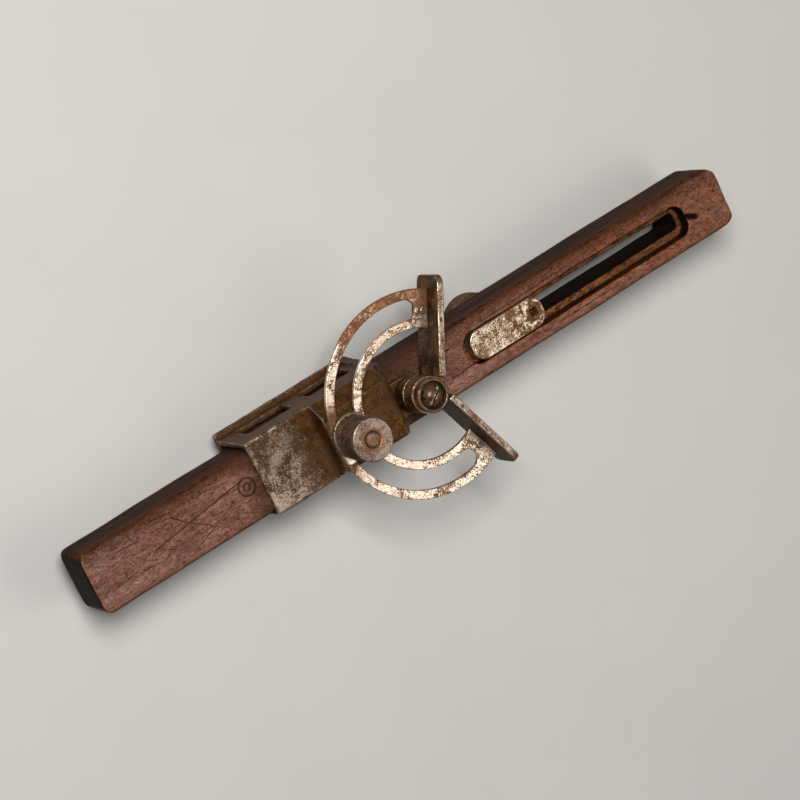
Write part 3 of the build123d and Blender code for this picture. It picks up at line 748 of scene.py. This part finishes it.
cap_metal = aged_metal(
    "pivot_cap_patina", bright=(0.40, 0.30, 0.21), dark=(0.028, 0.015, 0.0055),
    rust=(0.085, 0.036, 0.011), cover=0.20, edge_gain=0.62, pit=0.35, rust_share=0.6, shift=67,
    rough=(0.36, 0.5), speck=0.5,
)
screw_metal = aged_metal(
    "screw_steel", bright=(0.26, 0.20, 0.15), dark=(0.050, 0.029, 0.014), rust=(0.090, 0.042, 0.018),
    cover=0.40, pit=0.9, rust_share=0.5, shift=71, rough=(0.24, 0.36), depth=0.03,
)
hidden_metal = aged_metal(
    "inner_steel", bright=(0.34, 0.29, 0.24), dark=(0.06, 0.045, 0.03), cover=0.34, shift=83, speck=0.5,
)
pin_metal = aged_metal(
    "scriber_steel", bright=(0.20, 0.16, 0.13), dark=(0.014, 0.010, 0.007), cover=0.16, shift=89,
    speck=0.5,
)

# ---------------------------------------------------------------- the tool
worn(
    "beam", wood(), 0.38, 4, 0.24, 9.0, 1.0, (0.5, 1, 1),
    cuts=[
        (*NOTCH, 0.75, 1.8),
        (*LONG_SCRATCH, 0.40, 0.20),
        (*CROSS_SCRATCH, 0.35, 0.14),
        (*FRONT_SCRATCH, 0.35, 0.18),
    ],
)
worn("head_casting", casting, 0.28, 7, 0.17, 4.5, 5.0)
for arm, metal in (("upper", upper_metal), ("lower", lower_metal)):
    worn(f"{arm}_fence_plate", plate_metal, 0.20, 2, 0.05, 4.0, 9.0)
    worn(f"{arm}_slotted_arc", metal, 0.20, 1, 0.03, 3.0, 13.0)
    worn(f"{arm}_arc_rivet", plate_metal, 0.12, 2)
worn("slide_plate", slide_metal, 0.15, 2, 0.05, 3.0, 17.0)
worn("slide_stud", hidden_metal, 0.25, 1)
worn("slide_washer", washer_metal, 0.20, 1)
worn("scriber", pin_metal, 0.12, 6, 0.12, 1.2, 29.0)
worn("lock_shoe", hidden_metal, 0.20, 1)
worn("pivot_post", hidden_metal, 0.20, 1)
worn("pivot_cap", cap_metal, 0.12, 2)
worn("pivot_screw", screw_metal, 0.10, 1)
worn("clamp_stud", stud_metal, 0.15, 2, 0.05, 1.5, 19.0)
worn("clamp_washer", washer_metal, 0.15, 2, 0.04, 3.0, 23.0)


def turned_size(node):
    """Foot level, top level and radius of a round piece."""
    low, high = box(node)
    return low.z, high.z, (high.x - low.x) / 2


CLAMP_BORE, SLIDE_BORE, LOCK_SHANK = 2.31, 2.46, 2.0
foot, top, radius = turned_size("clamp_thumb_nut")
knurled(
    "clamp_thumb_nut", nut_metal,
    [
        (CLAMP_BORE, foot), (radius - 0.6, foot), (radius - 0.3, foot + 0.3), (radius - 0.3, foot + 1.1),
        (radius - 0.9, foot + 1.5), (radius - 0.9, foot + 1.9), (radius - 0.25, foot + 2.2),
        (radius, foot + 2.45), (radius, top - 0.35), (radius - 0.08, top - 0.12), (radius - 0.25, top),
        (CLAMP_BORE + 0.3, top), (CLAMP_BORE, top - 0.25),
    ],
    knurl=(foot + 2.4, top - 0.45), count=54, climb_teeth=6, depth=0.22,
)
foot, top, radius = turned_size("slide_thumb_nut")
knurled(
    "slide_thumb_nut", under_metal,
    [
        (SLIDE_BORE, foot), (radius - 0.7, foot), (radius - 0.25, foot + 0.2), (radius, foot + 0.6),
        (radius, top - 2.4), (radius - 2.2, top - 1.6), (radius - 2.6, top), (SLIDE_BORE, top),
    ],
    knurl=(foot + 0.6, top - 2.4), count=84, climb_teeth=4, depth=0.25, segments=504,
)
foot, tip, radius = turned_size("head_lock_screw")
shoulder = foot + 3.6
knurled(
    "head_lock_screw", under_metal,
    [
        (0.02, foot), (radius - 0.7, foot), (radius - 0.25, foot + 0.2), (radius, foot + 0.6),
        (radius, shoulder - 0.6), (radius - 0.6, shoulder), (LOCK_SHANK, shoulder),
        (LOCK_SHANK, tip - 0.4), (LOCK_SHANK - 0.4, tip), (0.02, tip),
    ],
    knurl=(foot + 0.6, shoulder - 0.6), count=62, climb_teeth=2, depth=0.25, segments=372,
)

# ---------------------------------------------------------------- floor, light, camera
bpy.ops.mesh.primitive_plane_add(size=12.0, location=(0, 0, cad_low[2]))
floor = bpy.context.object
floor.name = "studio_floor"
floor.data.materials.append(floor_material())


def area_light(name, direction, distance, size, power, colour=(1, 1, 1)):
    data = bpy.data.lights.new(name, "AREA")
    data.shape = "SQUARE"
    data.size = size
    data.energy = power
    data.color = colour
    lamp = bpy.data.objects.new(name, data)
    bpy.context.scene.collection.objects.link(lamp)
    lamp.location = Vector(direction).normalized() * distance
    lamp.rotation_euler = Vector(direction).to_track_quat("Z", "Y").to_euler()


area_light("key", (-0.24, 0.38, 0.89), 0.9, 0.30, 8.6, (1.0, 0.965, 0.92))
area_light("sheen", (0.43, -0.30, 0.85), 0.9, 0.50, 2.0, (1.0, 0.955, 0.88))
world = bpy.data.worlds.new("studio")
bpy.context.scene.world = world
world.use_nodes = True
world.node_tree.nodes["Background"].inputs[0].default_value = (0.80, 0.83, 0.88, 1)
world.node_tree.nodes["Background"].inputs[1].default_value = 0.10

azimuth, elevation, roll = radians(-124.367), radians(63.913), radians(95.183)
view_distance, look_at = 0.820, Vector((0.0014, -0.0035, 0.00925))
back = Vector((cos(elevation) * sin(azimuth), -cos(elevation) * cos(azimuth), sin(elevation)))
level_right = Vector((0, 0, 1)).cross(back).normalized()
level_up = back.cross(level_right)
right = level_right * cos(roll) + level_up * sin(roll)
up = back.cross(right)
data = bpy.data.cameras.new("camera")
data.sensor_width = 36
data.lens = 130.5
data.clip_end = 10
camera = bpy.data.objects.new("camera", data)
bpy.context.scene.collection.objects.link(camera)
rotation = Matrix((right, up, back)).transposed().to_4x4()
camera.matrix_world = Matrix.Translation(look_at + back * view_distance) @ rotation
bpy.context.scene.camera = camera
bpy.context.scene.view_settings.view_transform = "Standard"
